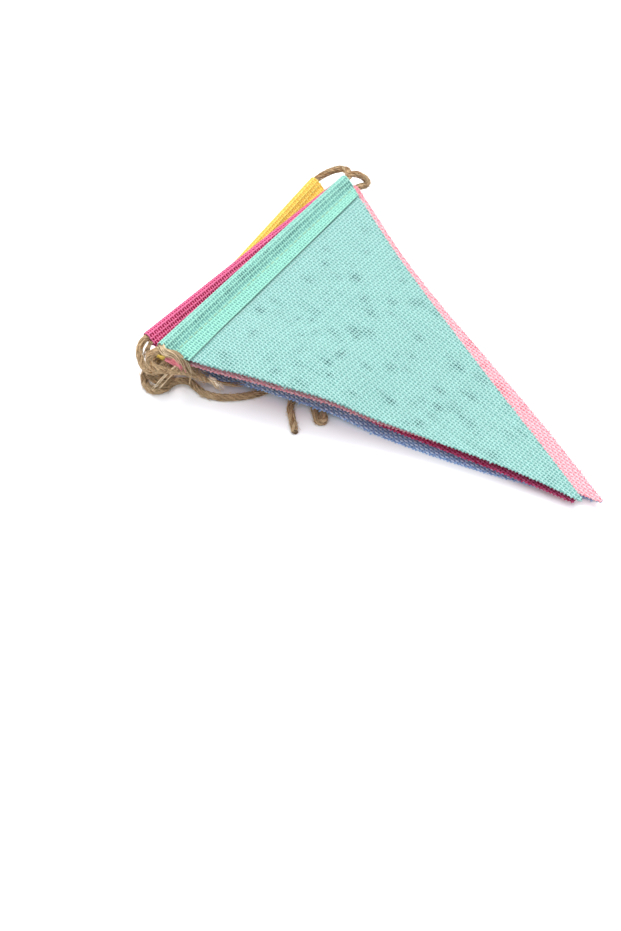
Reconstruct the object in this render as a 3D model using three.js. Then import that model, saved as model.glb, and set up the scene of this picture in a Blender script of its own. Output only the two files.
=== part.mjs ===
// A string of five cloth pennants on one jute twine, folded to and fro into a flat stack.
// The pennants lie one on another with their tips together. Each has a sleeve along its top edge,
// made by folding the edge over and sewing it down, and the twine runs through all the sleeves in turn.
// Millimetres, +Z up. X runs along the sleeves, the tips point to -Y, and the stack lies on z = 0.

import * as THREE from "three";

const CLOTH = 1.0; // thickness of the woven cloth
const PLY_GAP = 0.3; // air between the two plies of a hem
const LAYER_GAP = 0.35; // air between two pennants of the stack
const TWINE = 3.0; // diameter of the twine
const TWINE_SLACK = 0.3; // air between the twine and its sleeve
const STITCH = 8.5; // the seam's distance below the top fold
const SQUARE_END = 7.0; // a sleeve's ends are square for this far below the fold
const TIP = 2.0; // width of a pennant's cut tip

const SLEEVE_RADIUS = TWINE / 2 + TWINE_SLACK + CLOTH / 2; // twine axis to the middle of the cloth
const AXIS_DROP = SLEEVE_RADIUS + CLOTH / 2; // twine axis below the top fold
const QUARTER = (SLEEVE_RADIUS * Math.PI) / 2; // cloth in a quarter turn around the twine
const SLOPE = STITCH - AXIS_DROP; // from above the twine down to the seam
const PLY = CLOTH + PLY_GAP; // rise of the upper ply of a hem

// The stack is a wedge: thick at the sleeves, only cloth at the tips.
const STEP_AT_SLEEVES = 2 * SLEEVE_RADIUS + CLOTH + LAYER_GAP;
const STEP_AT_TIPS = CLOTH + LAYER_GAP;
const WEDGE_TOP_Y = 70;
const WEDGE_TIP_Y = -100;
const WAVE = 0.2; // slack in the cloth between sleeves and tips, for each layer

// The twine's tail is tucked under one edge of the stack and lifts the cloth there.
const LIFT = TWINE + 0.35;
const LIFT_FROM = new THREE.Vector2(-39.5, 42);
const LIFT_TO = new THREE.Vector2(-33.5, 22);
const LIFT_FULL = 8.5;
const LIFT_FADE = 24;

// Facets of the cloth: across, round the twine, and from the seam to the tip.
const ACROSS_STEPS = 13;
const ARC_STEPS = 6;
const BODY_STEPS = 14;
const TWINE_SIDES = 8;

// layer: place in the stack from below. hemUp: the hem's raw edge lies on top, else underneath.
// x, y, turn: the middle of the top fold and the turn about Z in degrees. tip: sideways shift of the tip.
// bow: how far a side edge curves in at its middle. sway: the same as an S. hem: fold to raw edge.
const PENNANTS = [
  {
    name: "flag_blue", colour: 0x5f7daf, layer: 0, hemUp: true,
    x: 3.0, y: 86.4, turn: -2.0, width: 122, height: 191.6, tip: 6.1,
    bow: { left: -2.1, right: 4.0 }, sway: { left: 2.2, right: 0 }, hem: { left: 13, right: 13 },
  },
  {
    name: "flag_yellow", colour: 0xfacd4b, layer: 1, hemUp: false,
    x: 1.1, y: 101.2, turn: 5.2, width: 127.5, height: 190, tip: -12,
    bow: { left: 2.0, right: 2.0 }, sway: { left: 0, right: 0 }, hem: { left: 13, right: 14 },
  },
  {
    name: "flag_hot_pink", colour: 0xe13c82, layer: 2, hemUp: true,
    x: 3.6, y: 97.1, turn: -3.9, width: 130, height: 195, tip: 2.3,
    bow: { left: 2.0, right: 2.0 }, sway: { left: -0.4, right: 0 }, hem: { left: 14, right: 13 },
  },
  {
    name: "flag_light_pink", colour: 0xf5a0b0, layer: 3, hemUp: false,
    x: -0.8, y: 82.0, turn: -0.5, width: 130, height: 189, tip: 2,
    bow: { left: 3.5, right: 1.9 }, sway: { left: -1.2, right: 1.6 }, hem: { left: 12, right: 14 },
  },
  {
    name: "flag_aqua", colour: 0x8ce1cd, layer: 4, hemUp: true,
    x: -3.5, y: 85.9, turn: 0, width: 130, height: 186.5, tip: -3.0,
    bow: { left: 4.5, right: 2.4 }, sway: { left: -1.0, right: 0.9 }, hem: { left: 16.5, right: 12.8 },
  },
];

// The twine outside the sleeves, as x, y, z of its axis, in the order in which it is threaded.
const FREE_END = [
  [-58.6, 66.2, 7.2], [-60.4, 68.4, 9.6], [-62.8, 70.6, 12.6], [-65.6, 72.6, 15.2], [-68.8, 74.6, 17.4],
  [-71.9, 76.6, 19.0], [-74.4, 79.2, 20.3], [-75.6, 82.0, 21.6], [-75.4, 84.4, 23.4], [-73.6, 84.8, 25.6],
];
const AQUA_TO_LIGHT_PINK = [
  [66.4, 82.8, 26.4], [68.6, 81.2, 25.2], [70.2, 79.0, 23.4], [70.4, 77.2, 21.6], [69.0, 77.0, 20.4],
];
const LIGHT_PINK_TO_HOT_PINK = [
  [-69.8, 79.9, 19.6], [-71.4, 81.2, 16.6], [-72.0, 83.2, 13.6], [-72.6, 86.2, 11.4],
  [-72.7, 90.2, 10.8], [-70.9, 94.2, 11.8], [-67.8, 97.6, 13.6],
];
const HOT_PINK_TO_YELLOW = [
  [72.8, 90.4, 14.8], [76.0, 93.2, 13.8], [76.6, 97.4, 12.0], [74.2, 101.6, 9.8], [70.0, 103.8, 8.7],
];
const YELLOW_TO_BLUE = [
  [-66.6, 92.2, 8.3], [-70.1, 90.6, 7.6], [-71.8, 88.2, 6.6], [-72.2, 85.2, 5.8],
  [-71.0, 82.8, 5.2], [-68.3, 81.7, 4.8], [-64.8, 82.4, 4.2], [-62.5, 84.4, 3.2],
];
const TAIL = [
  [67.1, 81.4, 2.7], [70.4, 82.2, 2.2], [72.6, 84.8, 1.7], [72.8, 88.4, 1.5], [70.4, 91.6, 1.5],
  [66.0, 93.4, 1.5], [30.0, 94.4, 1.5], [-10.0, 94.2, 1.5], [-48.0, 93.2, 1.5], [-60.0, 93.8, 1.5],
  [-66.6, 94.6, 1.5], [-71.6, 92.4, 1.5], [-74.6, 88.4, 1.5], [-74.6, 83.8, 1.5], [-71.2, 81.0, 1.5],
  [-66.6, 80.4, 1.5], [-62.6, 78.2, 1.5], [-60.8, 74.2, 1.5], [-61.6, 69.4, 1.5], [-61.4, 64.4, 1.5],
  [-59.4, 59.4, 1.5], [-55.4, 54.2, 1.5], [-51.0, 50.0, 1.5], [-45.8, 46.4, 1.5], [-39.6, 43.2, 1.5],
  [-34.2, 38.4, 1.5], [-31.3, 31.4, 1.5], [-31.9, 24.4, 1.5], [-36.0, 18.7, 1.5], [-39.0, 14.8, 1.5],
  [-40.1, 14.2, 1.5], [-41.2, 14.5, 1.5], [-41.8, 15.5, 1.5], [-41.5, 16.7, 1.5], [-38.8, 20.2, 1.5],
  [-35.9, 24.4, 1.5], [-35.2, 29.4, 1.5], [-38.6, 32.4, 1.5], [-43.2, 30.8, 1.5], [-48.2, 25.6, 1.5],
  [-52.8, 20.3, 1.5],
];
const TUBE_GAP = 0.3; // between the threaded run and the tail

const { lerp, clamp, smoothstep, degToRad } = THREE.MathUtils;

// Rise of the whole stack over the tucked tail.
function liftAt(x, y) {
  const along = LIFT_TO.clone().sub(LIFT_FROM);
  const point = new THREE.Vector2(x, y).sub(LIFT_FROM);
  const share = clamp(point.dot(along) / along.lengthSq(), 0, 1);
  const distance = point.distanceTo(along.multiplyScalar(share));
  return LIFT * (1 - smoothstep(distance, LIFT_FULL, LIFT_FULL + LIFT_FADE));
}

// Height of the middle of a layer's lower ply.
function layerHeight(layer, x, y) {
  const wedge = clamp((y - WEDGE_TIP_Y) / (WEDGE_TOP_Y - WEDGE_TIP_Y), 0, 1);
  const slack = 4 * wedge * (1 - wedge);
  const wave = WAVE * slack * (Math.sin(x / 17 + y / 29) + Math.sin(y / 19 - x / 31));
  return CLOTH / 2 + liftAt(x, y) + layer * (lerp(STEP_AT_TIPS, STEP_AT_SLEEVES, wedge) + wave);
}

// A pennant's side edge at a distance below the fold, measured from its middle line.
function sideEdge(pennant, side, below) {
  const share = clamp((below - SQUARE_END) / (pennant.height - SQUARE_END), 0, 1);
  const sign = side === "left" ? -1 : 1;
  const bow = pennant.bow[side] * 4 * share * (1 - share);
  const sway = pennant.sway[side] * Math.sin(2 * Math.PI * share);
  return sign * (lerp(pennant.width / 2, TIP / 2, share) - bow - sway) + pennant.tip * share;
}

function inStack(pennant, across, below, rise) {
  const left = sideEdge(pennant, "left", below);
  const right = sideEdge(pennant, "right", below);
  const turn = degToRad(pennant.turn);
  const point = new THREE.Vector3(lerp(left, right, across), -below, 0);
  point.applyAxisAngle(new THREE.Vector3(0, 0, 1), turn);
  point.x += pennant.x;
  point.y += pennant.y;
  point.z = layerHeight(pennant.layer, point.x, point.y) + rise;
  return point;
}

function hemAt(pennant, across) {
  return lerp(pennant.hem.left, pennant.hem.right, across);
}

// Middle of the cloth at a length run from the top fold: the hem is negative, the body positive.
function clothPoint(pennant, across, run) {
  const length = Math.abs(run);
  const isUpper = run < 0 === pennant.hemUp;
  if (length < QUARTER) {
    const angle = length / SLEEVE_RADIUS;
    const below = AXIS_DROP - SLEEVE_RADIUS * Math.cos(angle);
    const rise = SLEEVE_RADIUS * (1 + (isUpper ? Math.sin(angle) : -Math.sin(angle)));
    return inStack(pennant, across, below, rise);
  }
  const below = AXIS_DROP + length - QUARTER;
  if (!isUpper) return inStack(pennant, across, below, 0);
  const overTwine = (2 * SLEEVE_RADIUS - PLY) * (1 - smoothstep(below, AXIS_DROP, STITCH));
  const hem = hemAt(pennant, across);
  const overHem = PLY * (1 - smoothstep(below, hem + 3, hem + 25));
  return inStack(pennant, across, below, overHem + overTwine);
}

// Lengths from the fold at which the cloth is faceted, from the hem's raw edge to the tip.
function stations(pennant, across) {
  const seam = QUARTER + SLOPE;
  const raw = seam + hemAt(pennant, across) - STITCH;
  const runs = [-raw, -lerp(raw, seam, 0.5)];
  for (let i = 0; i < 3; i += 1) runs.push(-(seam - (SLOPE * i) / 3));
  for (let i = 0; i <= ARC_STEPS; i += 1) runs.push(lerp(-QUARTER, QUARTER, i / ARC_STEPS));
  for (let i = 1; i <= 3; i += 1) runs.push(QUARTER + (SLOPE * i) / 3);
  for (let i = 1; i <= BODY_STEPS; i += 1) {
    runs.push(seam + ((pennant.height - STITCH) * i) / BODY_STEPS);
  }
  return runs;
}

function clothNormal(pennant, across, run) {
  const small = 0.01;
  const nearTop = Math.min(Math.max(across, small), 1 - small);
  const alongX = clothPoint(pennant, nearTop + small, run).sub(clothPoint(pennant, nearTop - small, run));
  const alongRun = clothPoint(pennant, across, run + small).sub(clothPoint(pennant, across, run - small));
  return alongX.cross(alongRun).normalize();
}

// A flat slab, bent into the pennant.
function pennantMesh(pennant) {
  const rows = stations(pennant, 0).length - 1;
  const geometry = new THREE.BoxGeometry(1, 1, 1, ACROSS_STEPS, rows, 1);
  const position = geometry.attributes.position;
  for (let i = 0; i < position.count; i += 1) {
    const across = position.getX(i) + 0.5;
    const row = Math.round((position.getY(i) + 0.5) * rows);
    const run = stations(pennant, across)[row];
    const point = clothPoint(pennant, across, run);
    point.addScaledVector(clothNormal(pennant, across, run), position.getZ(i) * CLOTH);
    position.setXYZ(i, point.x, point.y, point.z);
  }
  geometry.computeVertexNormals();
  const material = new THREE.MeshStandardMaterial({ color: pennant.colour, roughness: 0.95, metalness: 0 });
  const mesh = new THREE.Mesh(geometry, material);
  mesh.name = pennant.name;
  return mesh;
}

// The twine's axis inside a sleeve, with a short straight piece past each of its ends.
function sleeveRun(pennant, fromLeft) {
  const past = 2 / pennant.width;
  const inside = 5 / pennant.width;
  const shares = [-past, inside, 1 - inside, 1 + past];
  if (!fromLeft) shares.reverse();
  return shares.map((share) => {
    const from = inStack(pennant, 0, AXIS_DROP, SLEEVE_RADIUS);
    const to = inStack(pennant, 1, AXIS_DROP, SLEEVE_RADIUS);
    return from.lerp(to, share);
  });
}

// A curve whose steps fall on its points, so that the bends are finer than the straight runs.
class Route extends THREE.CatmullRomCurve3 {
  getPointAt(share, target) {
    return this.getPoint(share, target);
  }

  getTangentAt(share, target) {
    return this.getTangent(share, target);
  }
}

function twineMesh(name, points) {
  const section = new THREE.Shape();
  for (let i = 0; i < TWINE_SIDES; i += 1) {
    const angle = (2 * Math.PI * i) / TWINE_SIDES;
    const x = (TWINE / 2) * Math.cos(angle);
    const y = (TWINE / 2) * Math.sin(angle);
    if (i === 0) section.moveTo(x, y);
    else section.lineTo(x, y);
  }
  section.closePath();
  const route = new Route(points, false, "centripetal");
  const geometry = new THREE.ExtrudeGeometry(section, { steps: points.length - 1, extrudePath: route });
  const material = new THREE.MeshStandardMaterial({ color: 0xaf8c64, roughness: 0.9, metalness: 0 });
  const mesh = new THREE.Mesh(geometry, material);
  mesh.name = name;
  return mesh;
}

const toPoints = (rows) => rows.map(([x, y, z]) => new THREE.Vector3(x, y, z));
const [blue, yellow, hotPink, lightPink, aqua] = PENNANTS;

const threaded = [
  ...toPoints(FREE_END),
  ...sleeveRun(aqua, true),
  ...toPoints(AQUA_TO_LIGHT_PINK),
  ...sleeveRun(lightPink, false),
  ...toPoints(LIGHT_PINK_TO_HOT_PINK),
  ...sleeveRun(hotPink, true),
  ...toPoints(HOT_PINK_TO_YELLOW),
  ...sleeveRun(yellow, false),
  ...toPoints(YELLOW_TO_BLUE),
  ...sleeveRun(blue, true),
];
const tail = toPoints(TAIL);
const tailStart = threaded.at(-1).clone();
tailStart.add(tail[0].clone().sub(tailStart).setLength(TUBE_GAP));
tail.unshift(tailStart);

const bunting = new THREE.Group();
for (const pennant of PENNANTS) bunting.add(pennantMesh(pennant));
bunting.add(twineMesh("twine", threaded));
bunting.add(twineMesh("twine_tail", tail));

export default bunting;
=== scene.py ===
"""A string of five cloth pennants on one jute twine, folded to and fro into a flat stack.

Each pennant is a thin sheet with its woven threads and the seam of its sleeve.
The twine is laid from three plies, with loose fibres and a frayed end.
"""

import math

import bmesh
import bpy
import numpy as np
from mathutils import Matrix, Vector


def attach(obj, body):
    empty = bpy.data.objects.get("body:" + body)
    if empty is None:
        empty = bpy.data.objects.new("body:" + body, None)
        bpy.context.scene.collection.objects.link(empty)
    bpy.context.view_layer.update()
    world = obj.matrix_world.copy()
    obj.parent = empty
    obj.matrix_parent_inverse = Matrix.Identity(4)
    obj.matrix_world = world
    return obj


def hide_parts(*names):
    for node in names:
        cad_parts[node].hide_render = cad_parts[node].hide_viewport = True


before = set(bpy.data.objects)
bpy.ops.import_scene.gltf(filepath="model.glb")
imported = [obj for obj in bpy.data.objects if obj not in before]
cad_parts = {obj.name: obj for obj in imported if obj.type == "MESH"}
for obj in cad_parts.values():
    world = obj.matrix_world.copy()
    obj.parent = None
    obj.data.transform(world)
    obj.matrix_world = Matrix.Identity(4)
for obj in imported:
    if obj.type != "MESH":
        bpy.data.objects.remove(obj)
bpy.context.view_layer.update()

MM = 0.001

# The stack, in millimetres, as the solids have it.
CLOTH = 1.0
LAYER_GAP = 0.35
TWINE = 3.0
TWINE_SLACK = 0.3
STITCH = 8.5
SQUARE_END = 7.0
TIP = 2.0
SLEEVE_RADIUS = TWINE / 2 + TWINE_SLACK + CLOTH / 2
AXIS_DROP = SLEEVE_RADIUS + CLOTH / 2
QUARTER = SLEEVE_RADIUS * math.pi / 2
SEAM_RUN = QUARTER + STITCH - AXIS_DROP
PLY = 0.95  # two woven plies lie closer than the solids' plies
STEP_AT_SLEEVES = 2 * SLEEVE_RADIUS + CLOTH + LAYER_GAP
STEP_AT_TIPS = CLOTH + LAYER_GAP
WEDGE_TOP_Y = 70.0
WEDGE_TIP_Y = -100.0
WAVE = 0.2
LIFT = TWINE + 0.35
LIFT_FROM = np.array([-39.5, 42.0])
LIFT_TO = np.array([-33.5, 22.0])
LIFT_FULL = 8.5
LIFT_FADE = 24.0

# The camera, in metres and degrees: the point it looks at, its turn from +Y, its fall, its distance.
CAMERA_AIM = (-0.06180, 0.00424, 0.0)
CAMERA_TURN = 50.942
CAMERA_FALL = 54.0
CAMERA_DISTANCE = 0.93736
CAMERA_LENS = 83.14
CAMERA_SENSOR = 36.0

# The pennants, from the lowest up. x and y place the middle of the top fold, and turn is in degrees.
# tip moves the tip sideways, bow and sway bend the left and the right edge, and fold is the hem's
# depth at its left and right end. flat and area are of the cut cloth, in metres. Colours are display
# values: warp, weft and hem threads, the cloth between them, its loose places and the seam's thread.
# The cloth between the threads is darker than they are, and darkest in its loose places: painted shade, for
# the shaded layers that show through the weave.
BLUE = dict(
    name="flag_blue", slot="cloth_blue", layer=0, hem_up=True, seed=11, under="twine_tail",
    x=3.0, y=86.4, turn=-2.0, width=122.0, height=191.6, tip=6.1,
    bow=(-2.1, 4.0), sway=(2.2, 0.0), fold=(13.0, 13.0), flat=(0.122, 0.2062), area=0.01394,
    warp=(203, 220, 243), weft=(150, 182, 224), hem=(150, 182, 224), ground=(120, 146, 193),
    gap=(78, 96, 138), sewing=(150, 162, 190),
)
YELLOW = dict(
    name="flag_yellow", slot="cloth_yellow", layer=1, hem_up=False, seed=12, under="flag_blue",
    x=1.1, y=101.2, turn=5.2, width=127.5, height=190.0, tip=-12.0,
    bow=(2.0, 2.0), sway=(0.0, 0.0), fold=(13.0, 14.0), flat=(0.1275, 0.2051), area=0.014271,
    warp=(218, 196, 108), weft=(216, 188, 88), hem=(216, 188, 88), ground=(200, 150, 56), gap=(150, 100, 28),
    sewing=(206, 178, 104),
)
# The hot pink body's warp, weft, ground and gap colours are painted shade: deeper than the hem colour on its
# sleeve, as the body lies in the shade of the layers above.
HOT_PINK = dict(
    name="flag_hot_pink", slot="cloth_hot_pink", layer=2, hem_up=True, seed=13, under="flag_yellow",
    x=3.6, y=97.1, turn=-3.9, width=130.0, height=195.0, tip=2.3,
    bow=(2.0, 2.0), sway=(-0.4, 0.0), fold=(14.0, 13.0), flat=(0.130, 0.2101), area=0.014897,
    warp=(192, 86, 124), weft=(184, 66, 106), hem=(218, 111, 150), ground=(140, 18, 60), gap=(92, 8, 40),
    sewing=(204, 110, 140),
)
LIGHT_PINK = dict(
    name="flag_light_pink", slot="cloth_light_pink", layer=3, hem_up=False, seed=14, under="flag_hot_pink",
    x=-0.8, y=82.0, turn=-0.5, width=130.0, height=189.0, tip=2.0,
    bow=(3.5, 1.9), sway=(-1.2, 1.6), fold=(12.0, 14.0), flat=(0.130, 0.2036), area=0.014296,
    warp=(228, 180, 186), weft=(224, 161, 168), hem=(224, 118, 128), ground=(208, 122, 134),
    gap=(150, 52, 72), sewing=(212, 172, 176),
)
AQUA = dict(
    name="flag_aqua", slot="cloth_aqua", layer=4, hem_up=True, seed=15, under="flag_light_pink",
    x=-3.5, y=85.9, turn=0.0, width=130.0, height=186.5, tip=-3.0,
    bow=(4.5, 2.4), sway=(-1.0, 0.9), fold=(16.5, 12.8), flat=(0.130, 0.2028), area=0.014176,
    warp=(148, 185, 180), weft=(142, 181, 175), hem=(140, 197, 179), ground=(98, 148, 141), gap=(36, 74, 72),
    sewing=(158, 190, 158),
)
PENNANTS = [BLUE, YELLOW, HOT_PINK, LIGHT_PINK, AQUA]

# The twine outside the sleeves, in the order in which it is threaded.
FREE_END = [
    (-58.6, 66.2, 7.2), (-60.4, 68.4, 9.6), (-62.8, 70.6, 12.6), (-65.6, 72.6, 15.2), (-68.8, 74.6, 17.4),
    (-71.9, 76.6, 19.0), (-74.4, 79.2, 20.3), (-75.6, 82.0, 21.6), (-75.4, 84.4, 23.4), (-73.6, 84.8, 25.6),
]
AQUA_TO_LIGHT_PINK = [
    (66.4, 82.8, 26.4), (68.6, 81.2, 25.2), (70.2, 79.0, 23.4), (70.4, 77.2, 21.6), (69.0, 77.0, 20.4),
]
LIGHT_PINK_TO_HOT_PINK = [
    (-69.8, 79.9, 19.6), (-71.4, 81.2, 16.6), (-72.0, 83.2, 13.6), (-72.6, 86.2, 11.4),
    (-72.7, 90.2, 10.8), (-70.9, 94.2, 11.8), (-67.8, 97.6, 13.6),
]
HOT_PINK_TO_YELLOW = [
    (72.8, 90.4, 14.8), (76.0, 93.2, 13.8), (76.6, 97.4, 12.0), (74.2, 101.6, 9.8), (70.0, 103.8, 8.7),
]
YELLOW_TO_BLUE = [
    (-66.6, 92.2, 8.3), (-70.1, 90.6, 7.6), (-71.8, 88.2, 6.6), (-72.2, 85.2, 5.8),
    (-71.0, 82.8, 5.2), (-68.3, 81.7, 4.8), (-64.8, 82.4, 4.2), (-62.5, 84.4, 3.2),
]
TAIL = [
    (67.1, 81.4, 2.7), (70.4, 82.2, 2.2), (72.6, 84.8, 1.7), (72.8, 88.4, 1.5), (70.4, 91.6, 1.5),
    (66.0, 93.4, 1.5), (30.0, 94.4, 1.5), (-10.0, 94.2, 1.5), (-48.0, 93.2, 1.5), (-60.0, 93.8, 1.5),
    (-66.6, 94.6, 1.5), (-71.6, 92.4, 1.5), (-74.6, 88.4, 1.5), (-74.6, 83.8, 1.5), (-71.2, 81.0, 1.5),
    (-66.6, 80.4, 1.5), (-62.6, 78.2, 1.5), (-60.8, 74.2, 1.5), (-61.6, 69.4, 1.5), (-61.4, 64.4, 1.5),
    (-59.4, 59.4, 1.5), (-55.4, 54.2, 1.5), (-51.0, 50.0, 1.5), (-45.8, 46.4, 1.5), (-39.6, 43.2, 1.5),
    (-34.2, 38.4, 1.5), (-31.3, 31.4, 1.5), (-31.9, 24.4, 1.5), (-36.0, 18.7, 1.5), (-39.0, 14.8, 1.5),
    (-40.1, 14.2, 1.5), (-41.2, 14.5, 1.5), (-41.8, 15.5, 1.5), (-41.5, 16.7, 1.5), (-38.8, 20.2, 1.5),
    (-35.9, 24.4, 1.5), (-35.2, 29.4, 1.5), (-38.6, 32.4, 1.5), (-43.2, 30.8, 1.5), (-48.2, 25.6, 1.5),
    (-52.8, 20.3, 1.5),
]

# Loose fibres: the line that they follow, their number, the bundle's radius, how far they part
# and a fibre's radius.
TUFT = [
    (
        [(-66.0, 83.2, 26.7), (-69.4, 82.2, 27.0), (-69.4, 79.0, 27.2), (-67.2, 76.0, 26.4),
         (-65.8, 73.2, 23.0), (-64.3, 71.7, 18.0), (-62.6, 70.4, 14.5), (-60.4, 68.5, 11.0),
         (-58.3, 65.7, 8.0)],
        76, 1.6, 1.2, 0.18,
    ),
    ([(-59.5, 67.5, 8.0), (-55.0, 61.0, 6.2), (-51.0, 56.0, 5.0), (-47.5, 52.2, 4.3)], 26, 0.7, 0.6, 0.2),
    ([(-66.2, 80.5, 10.0), (-70.2, 83.0, 9.0), (-73.4, 86.2, 8.4), (-73.9, 89.8, 8.8)], 34, 1.1, 0.4, 0.2),
    ([(-66.1, 81.5, 4.8), (-71.1, 81.9, 4.2), (-74.2, 84.0, 4.2), (-74.7, 87.4, 4.8)], 26, 1.0, 0.3, 0.2),
    (
        [(-62.2, 95.2, 15.5), (-64.7, 94.9, 14.0), (-67.5, 94.2, 12.6), (-70.5, 92.9, 11.6)],
        30, 0.9, 0.5, 0.2,
    ),
]
PALE_FIBRES = [
    (
        [(-68.6, 82.6, 27.4), (-69.8, 79.4, 27.8), (-68.0, 76.4, 26.8), (-66.4, 73.6, 23.4),
         (-64.8, 71.9, 18.6), (-63.0, 70.4, 14.8)],
        26, 1.9, 1.6, 0.15,
    ),
    ([(-58.4, 66.3, 7.2), (-56.8, 63.6, 5.6), (-56.6, 60.4, 4.4), (-56.1, 57.9, 3.4)], 9, 0.9, 1.6, 0.2),
    ([(-58.3, 66.3, 8.5), (-57.0, 64.0, 7.0), (-56.7, 61.4, 5.2), (-57.6, 59.5, 3.6)], 8, 0.9, 1.6, 0.2),
    (
        [(-68.9, 74.4, 21.0), (-72.0, 76.0, 18.5), (-74.6, 79.4, 12.0), (-77.3, 84.4, 2.0)],
        3, 0.4, 1.2, 0.17,
    ),
    (
        [(-68.2, 73.9, 20.0), (-71.3, 75.6, 16.0), (-73.5, 78.8, 10.0), (-75.9, 82.0, 2.5)],
        3, 0.4, 1.2, 0.17,
    ),
    ([(-62.5, 71.8, 14.0), (-63.7, 71.1, 11.5), (-64.8, 70.7, 9.0), (-66.2, 70.1, 6.5)], 4, 0.3, 0.3, 0.25),
    ([(68.7, 76.6, 20.5), (70.5, 72.7, 20.0), (71.2, 68.4, 18.5)], 2, 0.2, 0.9, 0.09),
    ([(61.1, 67.1, 19.0), (64.9, 60.6, 18.5), (67.8, 52.8, 17.0)], 1, 0.1, 0.3, 0.08),
]
# Fibre ends drawn in the near-white hem colour: painted light, for ends that catch the light.
PAINTED_LIGHT_ENDS = [
    ([(-57.7, 65.6, 8.5), (-57.1, 63.6, 7.4), (-57.5, 61.4, 6.0), (-58.8, 59.3, 4.6)], 2, 0.2, 0.2, 0.3),
    ([(-57.3, 65.9, 8.6), (-56.6, 63.4, 7.4), (-56.8, 61.0, 6.0), (-57.8, 58.5, 4.6)], 2, 0.2, 0.2, 0.3),
    ([(-57.0, 66.3, 8.7), (-55.9, 63.4, 7.4), (-55.8, 60.6, 6.0), (-56.4, 57.2, 4.6)], 3, 0.3, 0.3, 0.3),
]
FRAYED_CLOTH = {
    "flag_light_pink": [
        ([(-69.2, 80.0, 22.5), (-67.4, 75.8, 20.5), (-65.5, 71.4, 15.5)], 20, 1.3, 1.3, 0.26),
        ([(-68.5, 78.3, 21.0), (-67.2, 74.9, 19.0), (-66.4, 72.3, 16.0)], 18, 1.3, 1.3, 0.26),
        ([(-67.2, 77.0, 23.6), (-66.8, 73.9, 21.5), (-65.9, 71.5, 17.5)], 18, 1.3, 1.3, 0.26),
        (
            [(-69.5, 79.6, 23.5), (-67.9, 76.7, 21.5), (-66.3, 74.5, 17.5), (-65.4, 72.6, 14.0)],
            16, 1.2, 0.9, 0.26,
        ),
        ([(10.6, -86.5, 4.6), (9.5, -88.3, 5.2), (10.2, -89.3, 5.6), (10.3, -90.4, 4.6)], 3, 0.2, 0.5, 0.14),
    ],
    "flag_yellow": [
        ([(-63.8, 91.3, 12.0), (-64.1, 88.7, 11.5), (-63.1, 86.2, 10.0)], 7, 0.6, 0.9, 0.22),
        ([(-64.0, 90.7, 10.5), (-63.5, 88.8, 10.5), (-62.7, 87.1, 10.0)], 7, 0.6, 0.9, 0.22),
    ],
}

# The weave: warp threads run down a pennant, weft threads along its top edge.
WARP_PITCH = 1.275
WEFT_PITCH = 1.58
WARP_WIDTH = 0.92
WEFT_WIDTH = 1.14
THREAD_THICK = 0.40
CROWN = 0.13
WARP_UNEVEN = 0.05
WEFT_UNEVEN = 0.06
WANDER = 0.07
EDGE_CLEAR = 0.3
LOOSE_PLACES = 260
LOOSE_WARP = 0.22  # share of its width that a thread gives up where the weave is loose
LOOSE_WEFT = 0.36
BENT_WEFT = 0.14  # the same on the bend of the sleeve, where a weft thread also sinks in
BENT_SINK = 0.05

# The sheet between the threads.
SHEET_THICK = 0.2
SHEET_COLUMNS = 54
SHEET_ROWS = 96
HEM_ROWS = 0.28  # share of the rows on the folded hem
EDGE_INSET = 0.5

STITCH_LENGTH = 2.7
STITCH_STEP = 3.3
STITCH_RADIUS = 0.22

# The twine's lay: three plies round one another.
PLIES = 3
PLY_RADIUS = 0.8
LAY_RADIUS = 0.8
LAY_PITCH = 9.0
TWINE_STEP = 0.8
CURVE_STEPS = 40
PLY_SIDES = 7
LYING_FIBRES = 1700
STANDING_HAIRS = 1800
HAIR_ROOT = 1.35
WISP_STEP = 0.8
TWINE_SEED = 21
TUFT_SEED = 22
FIBRE_SEED = 23
LOWEST_PLY = 0.02  # heights that plies, hairs and wisps keep above the table
LOWEST_HAIR = 0.08
LOWEST_WISP = 0.2

# Jute mixes pale fibre, as its warp colour, with dark fibre as weft. Its hem colour is near white: painted
# light, for fibre ends that catch the light.
JUTE = dict(warp=(204, 176, 138), weft=(124, 95, 64), hem=(248, 236, 214))
PALE_JUTE = dict(warp=(230, 210, 178), weft=(188, 160, 122), hem=(248, 236, 214))
# PALE_TONES and FRAYED_TONES reach above one partly as painted light: they brighten loose fibres and frayed
# threads that lie in the stack's shade.
TUFT_TONES = (0.7, 1.3)
PALE_TONES = (0.9, 1.4)
# Tones of the fibre ends that carry painted light.
PAINTED_LIGHT_END_TONES = (0.95, 1.1)
FRAYED_TONES = (0.95, 1.35)
FRAYED_TINT = 0.7  # share of the hem's colour in frayed cloth threads


def linear(colour):
    """A colour given in 0 to 255 display values, as the shader takes it."""
    values = []
    for value in colour:
        share = value / 255
        values.append(share / 12.92 if share <= 0.04045 else ((share + 0.055) / 1.055) ** 2.4)
    return (*values, 1.0)


def smooth(value, low, high):
    share = np.clip((value - low) / (high - low), 0, 1)
    return share * share * (3 - 2 * share)


def unit(vectors):
    return vectors / np.maximum(np.linalg.norm(vectors, axis=-1, keepdims=True), 1e-12)


# The pennants' shape.


def lift_at(x, y):
    """Rise of the whole stack over the tucked tail."""
    along = LIFT_TO - LIFT_FROM
    from_start = np.stack([x - LIFT_FROM[0], y - LIFT_FROM[1]], axis=-1)
    share = np.clip(from_start @ along / (along @ along), 0, 1)
    distance = np.linalg.norm(from_start - share[..., None] * along, axis=-1)
    return LIFT * (1 - smooth(distance, LIFT_FULL, LIFT_FULL + LIFT_FADE))


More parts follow.
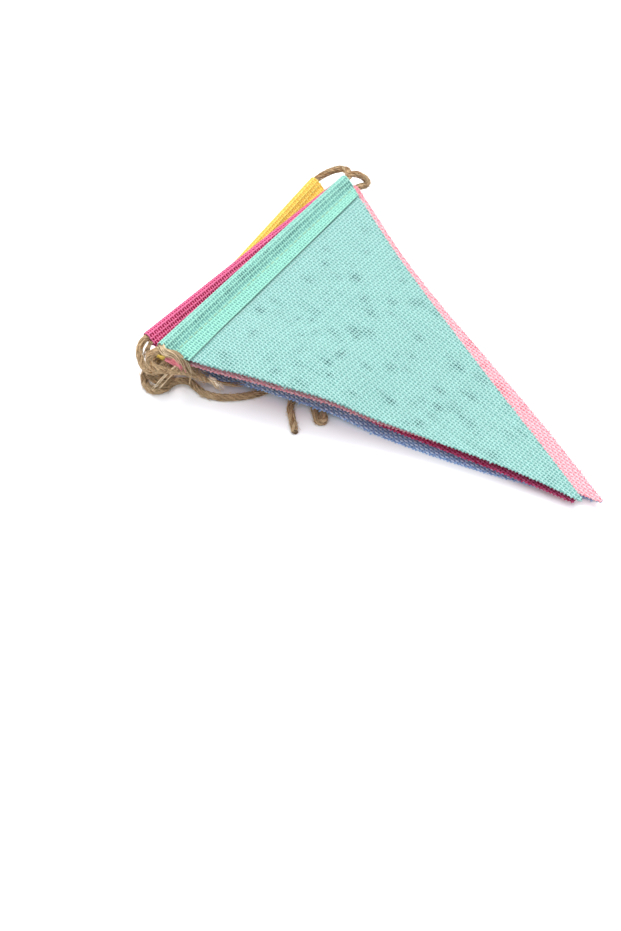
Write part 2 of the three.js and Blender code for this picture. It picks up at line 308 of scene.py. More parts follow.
def layer_height(layer, x, y):
    """Height of the middle of a layer's lower ply."""
    wedge = np.clip((y - WEDGE_TIP_Y) / (WEDGE_TOP_Y - WEDGE_TIP_Y), 0, 1)
    wave = WAVE * 4 * wedge * (1 - wedge) * (np.sin(x / 17 + y / 29) + np.sin(y / 19 - x / 31))
    step = STEP_AT_TIPS + (STEP_AT_SLEEVES - STEP_AT_TIPS) * wedge
    return CLOTH / 2 + lift_at(x, y) + layer * (step + wave)


def side_edges(pennant, below):
    """Left and right edge at a distance below the fold, from the middle line."""
    share = np.clip((below - SQUARE_END) / (pennant["height"] - SQUARE_END), 0, 1)
    half = pennant["width"] / 2 + (TIP / 2 - pennant["width"] / 2) * share
    edges = []
    for side, sign in ((0, -1), (1, 1)):
        curve = pennant["bow"][side] * 4 * share * (1 - share)
        curve = curve + pennant["sway"][side] * np.sin(2 * math.pi * share)
        edges.append(sign * (half - curve) + pennant["tip"] * share)
    return edges


def in_stack(pennant, sideways, below, rise):
    turn = math.radians(pennant["turn"])
    x = sideways * math.cos(turn) + below * math.sin(turn) + pennant["x"]
    y = sideways * math.sin(turn) - below * math.cos(turn) + pennant["y"]
    return np.stack([x, y, layer_height(pennant["layer"], x, y) + rise], axis=-1)


def below_fold(run):
    length = np.abs(run)
    angle = np.minimum(length, QUARTER) / SLEEVE_RADIUS
    return AXIS_DROP - SLEEVE_RADIUS * np.cos(angle) + np.maximum(length - QUARTER, 0)


def hem_at(pennant, sideways, below):
    left, right = side_edges(pennant, below)
    share = np.clip((sideways - left) / (right - left), 0, 1)
    return pennant["fold"][0] + (pennant["fold"][1] - pennant["fold"][0]) * share


def cloth_point(pennant, sideways, run):
    """Middle of the cloth at a length run from the top fold: the hem is negative, the body positive."""
    length = np.abs(run)
    below = below_fold(run)
    is_upper = (run < 0) == pennant["hem_up"]
    angle = np.minimum(length, QUARTER) / SLEEVE_RADIUS
    round_twine = SLEEVE_RADIUS * (1 + np.where(is_upper, 1, -1) * np.sin(angle))
    hem = hem_at(pennant, sideways, below)
    over_twine = (2 * SLEEVE_RADIUS - PLY) * (1 - smooth(below, AXIS_DROP, STITCH))
    over_hem = PLY * (1 - smooth(below, hem + 3, hem + 25))
    flat = np.where(is_upper, over_twine + over_hem, 0.0)
    return in_stack(pennant, sideways, below, np.where(length < QUARTER, round_twine, flat))


def cloth_frame(pennant, sideways, run):
    """Point, direction across, direction along the run, and normal of the cloth."""
    small = 0.05
    across = cloth_point(pennant, sideways + small, run) - cloth_point(pennant, sideways - small, run)
    along = cloth_point(pennant, sideways, run + small) - cloth_point(pennant, sideways, run - small)
    across, along = unit(across), unit(along)
    return cloth_point(pennant, sideways, run), across, along, unit(np.cross(across, along))


# Meshes.


def give_values(mesh, label, values):
    """An attribute with one value for each point."""
    layer = mesh.attributes.new(label, "FLOAT", "POINT")
    layer.data.foreach_set("value", np.asarray(values, dtype=np.float32))


def close_mesh(bm, name):
    """The finished mesh of a bmesh, with its faces turned outwards."""
    bmesh.ops.recalc_face_normals(bm, faces=bm.faces)
    mesh = bpy.data.meshes.new(name)
    bm.to_mesh(mesh)
    bm.free()
    return mesh


def stack_piece(mesh, material):
    """A smooth piece that rides on the stack."""
    mesh.shade_smooth()
    mesh.materials.append(material)
    piece = bpy.data.objects.new(mesh.name, mesh)
    bpy.context.scene.collection.objects.link(piece)
    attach(piece, "root")
    return piece


class Strands:
    """Thin closed strands, gathered into one mesh."""

    def __init__(self):
        self.points, self.faces, self.uv = [], [], []
        self.values = {}
        self.count = 0

    def add(self, rings, along, **values):
        """rings: steps by sides of points, in order round the strand. along: length at each step."""
        steps, sides, _ = rings.shape
        first = self.count + np.arange(steps - 1)[:, None] * sides
        here = np.arange(sides)[None, :]
        after = (here + 1) % sides
        quads = np.stack([first + here, first + after, first + sides + after, first + sides + here], axis=-1)
        self.faces.extend(quads.reshape(-1, 4).tolist())
        self.faces.append((self.count + np.arange(sides))[::-1].tolist())
        self.faces.append((self.count + (steps - 1) * sides + np.arange(sides)).tolist())
        self.points.append(rings.reshape(-1, 3))
        around = np.tile(np.arange(sides) / sides, steps)
        self.uv.append(np.stack([np.repeat(along, sides), around], axis=-1))
        for label, value in values.items():
            full = np.repeat(np.broadcast_to(value, steps), sides)
            self.values.setdefault(label, []).append(full)
        self.count += steps * sides

    def finish(self, name, material):
        """One piece of all strands, with a UV map along and round them."""
        mesh = bpy.data.meshes.new(name)
        mesh.from_pydata(np.concatenate(self.points) * MM, [], self.faces)
        for label, parts in self.values.items():
            give_values(mesh, label, np.concatenate(parts))
        corners = np.empty(len(mesh.loops), dtype=np.int32)
        mesh.loops.foreach_get("vertex_index", corners)
        uv = np.concatenate(self.uv).astype(np.float32)
        mesh.uv_layers.new(name="thread").data.foreach_set("uv", uv[corners].ravel())
        return stack_piece(mesh, material)


def line_frames(line):
    """Tangents of a line, and two directions square to them that don't twist."""
    tangents = unit(np.gradient(line, axis=0))
    first = np.cross(tangents[0], (0.31, 0.17, 0.93))  # any direction that no line starts along
    normals = [first / np.linalg.norm(first)]
    for tangent in tangents[1:]:
        normal = normals[-1] - tangent * (normals[-1] @ tangent)
        normals.append(normal / np.linalg.norm(normal))
    normals = np.array(normals)
    return tangents, normals, np.cross(tangents, normals)


def tube(line, radius, sides):
    """Rings of a round strand along a line."""
    _, normals, binormals = line_frames(line)
    angles = 2 * math.pi * np.arange(sides) / sides
    radius = np.broadcast_to(radius, len(line))[:, None, None]
    turned = np.cos(angles)[None, :, None], np.sin(angles)[None, :, None]
    return line[:, None] + radius * (normals[:, None] * turned[0] + binormals[:, None] * turned[1])


def line_length(line):
    return np.concatenate([[0], np.cumsum(np.linalg.norm(np.diff(line, axis=0), axis=1))])


# Materials.


def add_node(tree, kind, **inputs):
    node = tree.nodes.new(kind)
    for label, value in inputs.items():
        node.inputs[label.replace("_", " ")].default_value = value
    return node


def new_group(name, inputs, outputs):
    group = bpy.data.node_groups.new(name, "ShaderNodeTree")
    for label, kind, value in inputs:
        group.interface.new_socket(label, in_out="INPUT", socket_type=kind).default_value = value
    for label, kind in outputs:
        group.interface.new_socket(label, in_out="OUTPUT", socket_type=kind)
    return group, group.nodes.new("NodeGroupInput"), group.nodes.new("NodeGroupOutput")


def attribute_value(tree, label):
    node = tree.nodes.new("ShaderNodeAttribute")
    node.attribute_name = label
    return node.outputs["Fac"]


def fibre_streaks(tree, along, around):
    """Noise drawn out along a thread."""
    uv = tree.nodes.new("ShaderNodeUVMap")
    uv.uv_map = "thread"
    stretch = add_node(tree, "ShaderNodeMapping", Scale=(along, around, 1.0))
    noise = add_node(tree, "ShaderNodeTexNoise", Scale=1.0, Detail=3.0, Roughness=0.6)
    tree.links.new(uv.outputs["UV"], stretch.inputs["Vector"])
    tree.links.new(stretch.outputs["Vector"], noise.inputs["Vector"])
    return noise.outputs["Fac"]


def spread(tree, value, low, high):
    """Maps the middle of a noise to a range."""
    node = add_node(tree, "ShaderNodeMapRange", From_Min=0.3, From_Max=0.7, To_Min=low, To_Max=high)
    tree.links.new(value, node.inputs["Value"])
    return node.outputs["Result"]


def yarn_group():
    """Colour and relief of a spun thread: warp, weft or hem, each thread's own tone, fibre streaks."""
    group, source, result = new_group(
        "spun_thread",
        [(label, "NodeSocketColor", (1, 1, 1, 1)) for label in ("Warp", "Weft", "Hem")]
        + [("Streaks", "NodeSocketFloat", 0.1)],
        [("Color", "NodeSocketColor"), ("Height", "NodeSocketFloat")],
    )
    tint = source.outputs["Warp"]
    for label in ("Weft", "Hem"):
        mix = group.nodes.new("ShaderNodeMix")
        mix.data_type = "RGBA"
        group.links.new(attribute_value(group, label.lower()), mix.inputs["Factor"])
        group.links.new(tint, mix.inputs["A"])
        group.links.new(source.outputs[label], mix.inputs["B"])
        tint = mix.outputs["Result"]
    streaks = fibre_streaks(group, along=0.6, around=6.0)
    tone = group.nodes.new("ShaderNodeMath")
    tone.operation = "MULTIPLY"
    uneven = group.nodes.new("ShaderNodeMath")
    uneven.operation = "MULTIPLY_ADD"
    group.links.new(spread(group, streaks, -1.0, 1.0), uneven.inputs[0])
    group.links.new(source.outputs["Streaks"], uneven.inputs[1])
    uneven.inputs[2].default_value = 1.0
    group.links.new(attribute_value(group, "tone"), tone.inputs[0])
    group.links.new(uneven.outputs["Value"], tone.inputs[1])
    shade = add_node(group, "ShaderNodeHueSaturation")
    group.links.new(tint, shade.inputs["Color"])
    group.links.new(tone.outputs["Value"], shade.inputs["Value"])
    group.links.new(shade.outputs["Color"], result.inputs["Color"])
    group.links.new(streaks, result.inputs["Height"])
    return group


def mottle_group():
    """A colour made uneven by a fine noise."""
    group, source, result = new_group(
        "mottled_cloth",
        [("Color", "NodeSocketColor", (1, 1, 1, 1))]
        + [(label, "NodeSocketFloat", 1.0) for label in ("Scale", "Darkest")],
        [("Color", "NodeSocketColor")],
    )
    where = group.nodes.new("ShaderNodeTexCoord")
    noise = add_node(group, "ShaderNodeTexNoise", Detail=2.0, Roughness=0.5)
    tone = add_node(group, "ShaderNodeMapRange", From_Min=0.3, From_Max=0.7, To_Max=1.1)
    shade = add_node(group, "ShaderNodeHueSaturation")
    group.links.new(where.outputs["Object"], noise.inputs["Vector"])
    group.links.new(source.outputs["Scale"], noise.inputs["Scale"])
    group.links.new(noise.outputs["Fac"], tone.inputs["Value"])
    group.links.new(source.outputs["Darkest"], tone.inputs["To Min"])
    group.links.new(source.outputs["Color"], shade.inputs["Color"])
    group.links.new(tone.outputs["Result"], shade.inputs["Value"])
    group.links.new(shade.outputs["Color"], result.inputs["Color"])
    return group


SPUN_THREAD = yarn_group()
MOTTLED_CLOTH = mottle_group()


def new_material(name, roughness, sheen=0.0):
    material = bpy.data.materials.new(name)
    material.use_nodes = True
    shader = material.node_tree.nodes["Principled BSDF"]
    shader.inputs["Roughness"].default_value = roughness
    shader.inputs["Specular IOR Level"].default_value = 0.2
    shader.inputs["Sheen Weight"].default_value = sheen
    return material, material.node_tree, shader


def thread_material(name, warp, weft, hem, relief, streaks=0.1):
    material, tree, shader = new_material(name, roughness=0.88, sheen=0.1)
    yarn = tree.nodes.new("ShaderNodeGroup")
    yarn.node_tree = SPUN_THREAD
    for label, colour in (("Warp", warp), ("Weft", weft), ("Hem", hem)):
        yarn.inputs[label].default_value = linear(colour)
    yarn.inputs["Streaks"].default_value = streaks
    bump = add_node(tree, "ShaderNodeBump", Strength=relief, Distance=0.0002)
    tree.links.new(yarn.outputs["Color"], shader.inputs["Base Color"])
    tree.links.new(yarn.outputs["Height"], bump.inputs["Height"])
    tree.links.new(bump.outputs["Normal"], shader.inputs["Normal"])
    return material


def mottled(tree, shader, scale, darkest):
    """Makes the shader's colour uneven, and returns the socket that takes the colour."""
    mottle = tree.nodes.new("ShaderNodeGroup")
    mottle.node_tree = MOTTLED_CLOTH
    mottle.inputs["Scale"].default_value = scale
    mottle.inputs["Darkest"].default_value = darkest
    tree.links.new(mottle.outputs["Color"], shader.inputs["Base Color"])
    return mottle.inputs["Color"]


def ground_material(name, ground, gap):
    """The cloth between its threads, darker where the weave is loose: painted shade, for the shaded layers
    that show through the weave.
    """
    material, tree, shader = new_material(name, roughness=0.95)
    mix = tree.nodes.new("ShaderNodeMix")
    mix.data_type = "RGBA"
    mix.inputs["A"].default_value = linear(ground)
    mix.inputs["B"].default_value = linear(gap)
    tree.links.new(attribute_value(tree, "loose"), mix.inputs["Factor"])
    tree.links.new(mix.outputs["Result"], mottled(tree, shader, scale=900.0, darkest=0.8))
    return material


def sewing_material(name, colour):
    material, tree, shader = new_material(name, roughness=0.7, sheen=0.1)
    mottled(tree, shader, scale=1400.0, darkest=0.85).default_value = linear(colour)
    return material


# Camera, light and floor.


def add_camera():
    data = bpy.data.cameras.new("camera")
    data.sensor_fit = "VERTICAL"
    data.sensor_height = CAMERA_SENSOR
    data.lens = CAMERA_LENS
    data.clip_start = 0.01
    camera = bpy.data.objects.new("camera", data)
    turn, fall = math.radians(CAMERA_TURN), math.radians(CAMERA_FALL)
    look = Vector((math.sin(turn) * math.cos(fall), math.cos(turn) * math.cos(fall), -math.sin(fall)))
    camera.location = Vector(CAMERA_AIM) - look * CAMERA_DISTANCE
    camera.rotation_euler = look.to_track_quat("-Z", "Y").to_euler()
    bpy.context.scene.collection.objects.link(camera)
    bpy.context.scene.camera = camera


def add_softbox(name, place, size, power, colour):
    data = bpy.data.lights.new(name, "AREA")
    data.shape = "DISK"
    data.size = size
    data.energy = power
    data.color = colour
    light = bpy.data.objects.new(name, data)
    light.location = place
    light.rotation_euler = (-Vector(place)).to_track_quat("-Z", "Y").to_euler()
    bpy.context.scene.collection.objects.link(light)


def add_studio():
    bm = bmesh.new()
    bmesh.ops.create_grid(bm, x_segments=1, y_segments=1, size=3.0)
    mesh = bpy.data.meshes.new("floor")
    bm.to_mesh(mesh)
    bm.free()
    floor = bpy.data.objects.new("floor", mesh)
    bpy.context.scene.collection.objects.link(floor)
    material, _, shader = new_material("white_paper", roughness=0.9)
    shader.inputs["Base Color"].default_value = (0.92, 0.92, 0.93, 1.0)
    mesh.materials.append(material)
    world = bpy.data.worlds.new("studio")
    bpy.context.scene.world = world
    world.use_nodes = True
    sky = world.node_tree.nodes["Background"]
    sky.inputs["Color"].default_value = (0.93, 0.96, 1.0, 1.0)
    sky.inputs["Strength"].default_value = 0.9
    add_softbox("key", place=(1.6, 1.3, 3.6), size=2.6, power=172.0, colour=(1.0, 0.985, 0.96))
    add_softbox("overhead", place=(-0.25, -0.05, 2.6), size=2.4, power=41.0, colour=(0.95, 0.97, 1.0))
    bpy.context.scene.view_settings.view_transform = "Standard"


# The twine.


def sleeve_axis(pennant, from_left):
    below = np.array(AXIS_DROP)
    left, right = side_edges(pennant, below)
    ends = [in_stack(pennant, edge, below, SLEEVE_RADIUS) for edge in (left, right)]
    past, inside = 2 / pennant["width"], 5 / pennant["width"]
    shares = [-past, inside, 1 - inside, 1 + past]
    if not from_left:
        shares.reverse()
    return [tuple(ends[0] + (ends[1] - ends[0]) * share) for share in shares]


def twine_route():
    """Points of the twine's axis, and whether each lies in a sleeve."""
    pieces = [
        (FREE_END, False), (sleeve_axis(AQUA, True), True),
        (AQUA_TO_LIGHT_PINK, False), (sleeve_axis(LIGHT_PINK, False), True),
        (LIGHT_PINK_TO_HOT_PINK, False), (sleeve_axis(HOT_PINK, True), True),
        (HOT_PINK_TO_YELLOW, False), (sleeve_axis(YELLOW, False), True),
        (YELLOW_TO_BLUE, False), (sleeve_axis(BLUE, True), True), (TAIL, False),
    ]
    points = [point for part, _ in pieces for point in part]
    covered = [in_sleeve for part, in_sleeve in pieces for _ in part]
    return np.array(points), np.array(covered)


def smooth_line(points, covered, step):
    """A centripetal curve through the points, at even steps, and where it is covered by a sleeve."""
    ends = [2 * points[0] - points[1], 2 * points[-1] - points[-2]]
    padded = np.concatenate([[ends[0]], points, [ends[1]]])
    fine, hidden = [points[0]], [covered[0]]
    for i in range(len(points) - 1):
        p0, p1, p2, p3 = padded[i : i + 4]
        d0, d1, d2 = (math.sqrt(np.linalg.norm(b - a)) for a, b in ((p0, p1), (p1, p2), (p2, p3)))
        m1 = ((p1 - p0) / d0 - (p2 - p0) / (d0 + d1) + (p2 - p1) / d1) * d1
        m2 = ((p2 - p1) / d1 - (p3 - p1) / (d1 + d2) + (p3 - p2) / d2) * d1
        for t in np.linspace(0, 1, CURVE_STEPS + 1)[1:]:
            cubic = 2 * p1 - 2 * p2 + m1 + m2
            square = -3 * p1 + 3 * p2 - 2 * m1 - m2
            fine.append(p1 + m1 * t + square * t**2 + cubic * t**3)
            hidden.append(covered[i] and covered[i + 1])
    fine = np.array(fine)
    length = line_length(fine)
    even = np.linspace(0, length[-1], int(length[-1] / step) + 1)
    line = np.stack([np.interp(even, length, fine[:, axis]) for axis in range(3)], axis=-1)
    return line, np.interp(even, length, np.array(hidden, dtype=float)) > 0.5


def ply_lines(line):
    """Centre lines of the plies, twisted round the twine's axis."""
    _, normals, binormals = line_frames(line)
    turn = 2 * math.pi * line_length(line) / LAY_PITCH
    for ply in range(PLIES):
        angle = (turn + 2 * math.pi * ply / PLIES)[:, None]
        yield line + LAY_RADIUS * (normals * np.cos(angle) + binormals * np.sin(angle))


def lying_fibre(strands, rng, line, start):
    """A pale fibre on the twine's surface, nearly along it."""
    whole = np.clip(start + np.linspace(0, rng.uniform(6, 14), 6).astype(int), 0, len(line) - 1)
    if whole[-1] - whole[0] < 5:
        return
    angle = rng.uniform(0, 2 * math.pi) + np.linspace(0, rng.uniform(-0.6, 2.6), 6)
    out = TWINE / 2 + rng.uniform(-0.12, 0.16, 6)
    fibre = beside(line, whole, angle, out)
    rings = tube(fibre, np.array([0.05, 0.11, 0.13, 0.13, 0.11, 0.04]), 3)
    strands.add(rings, line_length(fibre), tone=rng.uniform(0.7, 1.4), weft=rng.uniform(0, 0.4), hem=0.0)


def standing_hair(strands, rng, line, start):
    """A short fibre that stands out of the twine."""
    reach = int(rng.integers(2, 7)) * rng.choice([-1, 1])
    whole = np.round(np.clip(start + np.linspace(0, reach, 4), 0, len(line) - 1)).astype(int)
    angle = rng.uniform(0, 2 * math.pi) + np.linspace(0, rng.uniform(-0.9, 0.9), 4)
    out = HAIR_ROOT + np.linspace(0, 1, 4) ** rng.uniform(0.8, 2.0) * rng.uniform(0.2, 1.9)
    hair = beside(line, whole, angle, out)
    if np.min(np.linalg.norm(np.diff(hair, axis=0), axis=1)) > 0.1:
        rings = tube(hair, np.array([0.075, 0.07, 0.055, 0.025]), 3)
        strands.add(rings, line_length(hair), tone=rng.uniform(0.9, 1.35), weft=0.0, hem=0.0)


def beside(line, steps, angle, out):
    """Points at steps of a line, moved out from it at an angle, and never below the table."""
    _, normals, binormals = line_frames(line[max(steps.min() - 2, 0) : steps.max() + 3])
    local = steps - max(steps.min() - 2, 0)
    side = normals[local] * np.cos(angle)[:, None] + binormals[local] * np.sin(angle)[:, None]
    points = line[steps] + side * out[:, None]
    points[:, 2] = np.maximum(points[:, 2], LOWEST_HAIR)
    return points


def lay_twine(material):
    """The three plies from end to end, with loose fibres where the twine is in the open."""
    rng = np.random.default_rng(TWINE_SEED)
    points, covered = twine_route()
    line, hidden = smooth_line(points, covered, TWINE_STEP)
    length = line_length(line)
    frayed = 1 - 0.45 * (1 - smooth(length, 0, 4))  # plies are thinner at the frayed end
    cut = 1 - 0.5 * smooth(length, length[-1] - 1.0, length[-1])  # and darker at the cut one
    strands = Strands()
    for ply in ply_lines(line):
        lumps = np.convolve(rng.normal(0, 1, len(ply) + 6), np.ones(7) / 7, "valid")
        tone = np.convolve(rng.normal(0, 1, len(ply) + 10), np.ones(11) / 11, "valid")
        rings = tube(ply, PLY_RADIUS * (1 + 0.2 * lumps) * frayed, PLY_SIDES)
        rings[..., 2] = np.maximum(rings[..., 2], LOWEST_PLY)
        strands.add(rings, line_length(ply), tone=(1 + 0.3 * tone) * cut, weft=0.7 + 0.9 * tone, hem=0.0)
    open_steps = np.flatnonzero(~hidden)
    for _ in range(LYING_FIBRES):
        lying_fibre(strands, rng, line, rng.choice(open_steps))
    for _ in range(STANDING_HAIRS):
        standing_hair(strands, rng, line, rng.choice(open_steps))
    twine = strands.finish("jute_twine", material)
    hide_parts("twine", "twine_tail")
    return twine, line


def wisp(strands, rng, bundle, tones, tint):
    """Loose fibres wound round one guide line, which part from one another towards its end."""
    guide, count, thick, parting, radius = bundle
    line, _ = smooth_line(np.array(guide), np.zeros(len(guide)), WISP_STEP)
    _, normals, binormals = line_frames(line)
    share = np.linspace(0, 1, len(line))
    for _ in range(count):
        angle = (rng.uniform(0, 2 * math.pi) + share * rng.uniform(1.5, 4.5))[:, None]
        wave = 1 + 0.25 * np.sin(share * rng.uniform(4, 9) + rng.uniform(0, 6))
        out = thick * math.sqrt(rng.uniform(0.05, 1.0)) * wave + parting * rng.uniform(0.1, 1.0) * share**2
        fibre = line + out[:, None] * (normals * np.cos(angle) + binormals * np.sin(angle))
        fibre[:, 2] = np.maximum(fibre[:, 2], LOWEST_WISP)
        fibre = fibre[: max(5, int(len(fibre) * rng.uniform(0.7, 1.0)))]
        taper = 1 - 0.65 * np.linspace(0, 1, len(fibre)) ** 2
        rings = tube(fibre, radius * rng.uniform(0.7, 1.15) * taper, 4)
        strands.add(rings, line_length(fibre), tone=rng.uniform(*tones), weft=rng.uniform(0, 1), hem=tint)


def loose_fibres(name, seed, material, *kinds):
    """One piece of several kinds of wisps, each with its tones and its share of the hem colour, the near
    white of painted light on fibre ends.
    """
    rng = np.random.default_rng(seed)
    strands = Strands()
    for wisps, tones, tint in kinds:
        for bundle in wisps:
            wisp(strands, rng, bundle, tones, tint)
    fibres = strands.finish(name, material)
    return fibres


# The pennants.


def loose_spots(pennant, rng):
    """Places where the weave is more open, on the body and in a row along the sleeve.

    Each has its place across, its run, half width, half length and how open it is.
    """
    spots = []
    for _ in range(LOOSE_PLACES):
        across = rng.uniform(-0.5, 0.5) * pennant["width"]
        run = rng.uniform(18, pennant["height"] - 10)
        wide = rng.uniform(1.0, 2.3)
        long, depth = wide * rng.uniform(1.0, 1.9), rng.uniform(0.25, 1.0)
        depth *= 1 - 0.45 * smooth(run, 100, 165)
        left, right = side_edges(pennant, below_fold(np.array(run)))
        if left + 2 < across < right - 2:
            spots.append((across, run, wide, long, depth))
    for across in np.arange(-0.5, 0.5, 0.045) * pennant["width"]:
        middle, run = across + rng.uniform(-2, 2), -rng.uniform(4.6, 7.0)
        wide, long, depth = rng.uniform(1.5, 4.5), rng.uniform(0.9, 1.5), rng.uniform(0.2, 0.7)
        spots.append((middle, run, wide, long, depth))
    return spots


def looseness(spots, sideways, run):
    loose = np.zeros_like(sideways)
    for across, along, wide, long, depth in spots:
        distance = ((sideways - across) / wide) ** 2 + ((run - along) / long) ** 2
        loose = np.maximum(loose, depth * np.exp(-(distance**1.5)))
    return loose


def hem_share(run):
    """One on the folded hem below the seam, less on the sleeve, none on the body."""
    below = below_fold(run)
    flap = smooth(below, STITCH - 1.5, STITCH + 1.5)
    return np.where(run < 0, 0.7 + 0.3 * flap, 0.7 * (1 - smooth(below, 2, STITCH)))


def raw_run(pennant, sideways, run):
    return SEAM_RUN + hem_at(pennant, sideways, below_fold(run)) - STITCH


def warp_spans(pennant, places):
    """From where to where each warp thread runs, with its whole width inside the side edges."""
    runs = np.arange(-20.0, pennant["height"] + 5, 0.1)
    left, right = side_edges(pennant, below_fold(runs))
    left, right = left + WARP_WIDTH / 2, right - WARP_WIDTH / 2
    spans = []
    for place in places:
        sideways = np.full_like(runs, place)
        inside = (left <= place) & (place <= right) & (-runs <= raw_run(pennant, sideways, runs))
        inside &= below_fold(runs) <= pennant["height"]
        found = runs[inside]
        spans.append((found[0], found[-1]) if len(found) else None)
    return spans


def weft_run(pennant, place, sideways):
    """Run of a weft thread: below the seam of the hem it takes on the slant of the raw edge."""
    middle = SEAM_RUN + sum(pennant["fold"]) / 2 - STITCH
    slant = (raw_run(pennant, sideways, place) - SEAM_RUN) / (middle - SEAM_RUN)
    return np.where(place < -SEAM_RUN, -SEAM_RUN + (place + SEAM_RUN) * slant, place)


def weft_spans(pennant, places):
    spans = []
    for place in places:
        below = below_fold(np.array(place))
        left, right = side_edges(pennant, below)
        spans.append((float(left), float(right)) if below <= pennant["height"] else None)
    return spans


def overhang(rng):
    """How far a cut thread stands out of the cloth's edge."""
    return rng.uniform(-0.15, 0.15) + (rng.uniform(0.3, 0.9) if rng.random() < 0.04 else 0.0)


def follow_sleeve(along, crown):
    """Adds a step between the crossings on the sleeve, so that a thread follows its bend."""
    between = (along[1:] + along[:-1]) / 2
    between = between[np.abs(between) < SEAM_RUN + 1]
    order = np.argsort(np.concatenate([along, between]))
    return np.concatenate([along, between])[order], np.concatenate([crown, np.zeros(len(between))])[order]


def weave_threads(pennant, rng, spots):
    """All threads of one pennant, in one mesh."""
    half = pennant["width"] / 2
    first = STITCH - SEAM_RUN - sum(pennant["fold"]) / 2 + 0.5 * WEFT_WIDTH
    warp_at = np.arange(-half + WARP_PITCH / 2, half, WARP_PITCH)
    warp_at = warp_at + rng.normal(0, WARP_UNEVEN, len(warp_at))
    weft_at = np.arange(first, pennant["height"] + 4, WEFT_PITCH)
    weft_at[1:] += rng.normal(0, WEFT_UNEVEN, len(weft_at) - 1)
    outward = 1 if pennant["hem_up"] else -1
    threads = Strands()

    def add_thread(index, span, crossings, is_warp, place):
        if span is None:
            return
        low, high = span[0] - overhang(rng), span[1] + overhang(rng)
        inner = np.flatnonzero((crossings > span[0] + EDGE_CLEAR) & (crossings < span[1] - EDGE_CLEAR))
        if len(inner) < 1:
            return
        along = np.concatenate([[low], crossings[inner], [high]])
        crown = CROWN * np.where((inner + index) % 2 == 0, 1, -1) * (1 if is_warp else -1)
        crown = np.concatenate([[rng.uniform(-0.1, 0.1)], crown, [rng.uniform(-0.1, 0.1)]])
        if is_warp:
            along, crown = follow_sleeve(along, crown)
        wander = WANDER * np.sin(along / rng.uniform(9, 16) + rng.uniform(0, 6))
        if is_warp:
            sideways, run = place + wander, along
        else:
            sideways, run = along, weft_run(pennant, np.full_like(along, place), along) + wander
        point, across, down, normal = cloth_frame(pennant, sideways, run)
        loose = looseness(spots, sideways, run)
        bent = 1 - smooth(np.abs(run), QUARTER - 0.6, QUARTER + 1.2)
        if is_warp:
            width = WARP_WIDTH * (1 - LOOSE_WARP * loose)
        else:
            width = WEFT_WIDTH * (1 - LOOSE_WEFT * loose) * (1 - BENT_WEFT * bent)
            crown = crown - outward * BENT_SINK * bent
        width = width * rng.uniform(0.92, 1.06)
        thick = np.full_like(width, THREAD_THICK / 2)
        width[[0, -1]] *= 0.5
        thick[[0, -1]] *= 0.5
        flank = (across if is_warp else down) * (width / 2)[:, None] * (1 if is_warp else -1)
        point = point + normal * crown[:, None]
        rise = normal * thick[:, None]
        rings = np.stack([point + rise, point - flank, point - rise, point + flank], axis=1)
        tone = rng.normal(1.0, 0.035) + rng.normal(0, 0.02, len(along))
        weft = 0.0 if is_warp else 1.0
        threads.add(rings, along + rng.uniform(0, 50), tone=tone, weft=weft, hem=hem_share(run))

    for index, span in enumerate(warp_spans(pennant, warp_at)):
        crossings = weft_run(pennant, weft_at, np.full_like(weft_at, warp_at[index]))
        add_thread(index, span, crossings, True, warp_at[index])
    for index, span in enumerate(weft_spans(pennant, weft_at)):
        add_thread(index, span, warp_at, False, weft_at[index])
    return threads


def ground_sheet(pennant, spots, material):
    """The thin sheet that the threads lie in, on the folds of the cloth."""
    bm = bmesh.new()
    bmesh.ops.create_grid(bm, x_segments=SHEET_COLUMNS, y_segments=SHEET_ROWS, size=0.5)
    share = np.array([(v.co.x + 0.5, v.co.y + 0.5) for v in bm.verts])
    across, down = share[:, 0], share[:, 1]
    hem = pennant["fold"][0] + (pennant["fold"][1] - pennant["fold"][0]) * across
    raw = SEAM_RUN + hem - STITCH - EDGE_INSET
    end = SEAM_RUN + pennant["height"] - STITCH - EDGE_INSET
    folded = -raw + 2 * raw * down / HEM_ROWS
    body = raw + (end - raw) * (down - HEM_ROWS) / (1 - HEM_ROWS)
    run = np.where(down < HEM_ROWS, folded, body)
    left, right = side_edges(pennant, below_fold(run))
    inset = np.minimum(EDGE_INSET, 0.3 * (right - left))
    sideways = left + inset + (right - left - 2 * inset) * across
    points = cloth_point(pennant, sideways, run)
    for vert, point in zip(bm.verts, points):
        vert.co = Vector(point) * MM
    mesh = close_mesh(bm, pennant["name"] + "_cloth")
    give_values(mesh, "loose", looseness(spots, sideways, run))
    sheet = stack_piece(mesh, material)
    wall = sheet.modifiers.new("thickness", "SOLIDIFY")
    wall.thickness = SHEET_THICK * MM
    wall.offset = 0.0
    return sheet


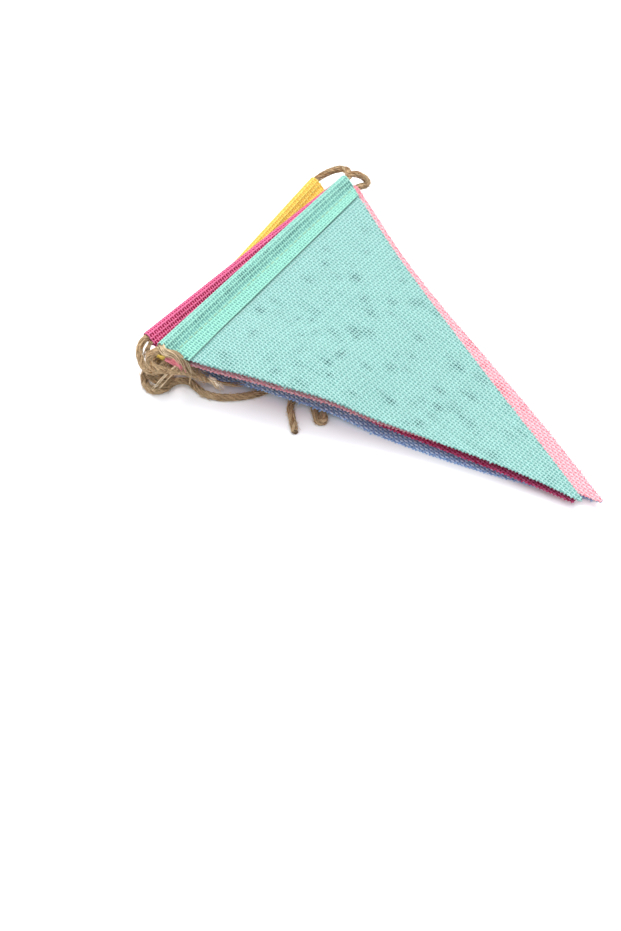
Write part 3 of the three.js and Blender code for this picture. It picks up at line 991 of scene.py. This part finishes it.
def sew_seam(pennant, rng, material):
    """Stitches along the seam, on both faces of the hem."""
    below = np.array(STITCH)
    left, right = side_edges(pennant, below)
    starts = np.arange(left + 1.5, right - STITCH_LENGTH, STITCH_STEP)
    bm = bmesh.new()
    for run in (-SEAM_RUN, SEAM_RUN):
        for start in starts:
            made = bmesh.ops.create_uvsphere(bm, u_segments=6, v_segments=6, radius=1.0)["verts"]
            ball = np.array([v.co for v in made])
            middle = start + STITCH_LENGTH / 2 + rng.normal(0, 0.1)
            sideways = middle + ball[:, 2] * STITCH_LENGTH / 2
            down = run + rng.normal(0, 0.06) + ball[:, 0] * STITCH_RADIUS
            point, _, _, normal = cloth_frame(pennant, sideways, down)
            sunk = rng.normal(0.34, 0.06)
            rise = sunk - 0.4 * ball[:, 2] ** 4 + ball[:, 1] * STITCH_RADIUS * 0.8
            placed = point + normal * rise[:, None]
            for vert, place in zip(made, placed):
                vert.co = Vector(place) * MM
    return stack_piece(close_mesh(bm, pennant["name"] + "_seam"), material)


def make_pennant(pennant):
    name = pennant["name"]
    rng = np.random.default_rng(pennant["seed"])
    spots = loose_spots(pennant, rng)
    between = ground_material(name + "_ground", pennant["ground"], pennant["gap"])
    ground = ground_sheet(pennant, spots, between)
    threads = weave_threads(pennant, rng, spots)
    for bundle in FRAYED_CLOTH.get(name, ()):
        wisp(threads, rng, bundle, FRAYED_TONES, FRAYED_TINT)
    dyed = thread_material(name + "_thread", pennant["warp"], pennant["weft"], pennant["hem"], relief=0.5)
    weave = threads.finish(name + "_weave", dyed)
    seam = sew_seam(pennant, rng, sewing_material(name + "_sewing", pennant["sewing"]))
    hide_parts(name)


add_camera()
add_studio()
jute = thread_material("jute", **JUTE, relief=1.0, streaks=0.5)
pale_jute = thread_material("pale_jute", **PALE_JUTE, relief=0.6, streaks=0.2)
twine, twine_line = lay_twine(jute)
tuft = loose_fibres("jute_tuft", TUFT_SEED, jute, (TUFT, TUFT_TONES, 0.0))
# These fibres include ends in near white, which is painted light, and pale fibres that are partly brightened
# as painted light.
fibres = loose_fibres(
    "jute_fibres", FIBRE_SEED, pale_jute,
    (PALE_FIBRES, PALE_TONES, 0.0), (PAINTED_LIGHT_ENDS, PAINTED_LIGHT_END_TONES, 1.0),
)
[tuple(point * MM) for point in twine_line]
for pennant in PENNANTS:
    make_pennant(pennant)

bpy.context.view_layer.update()
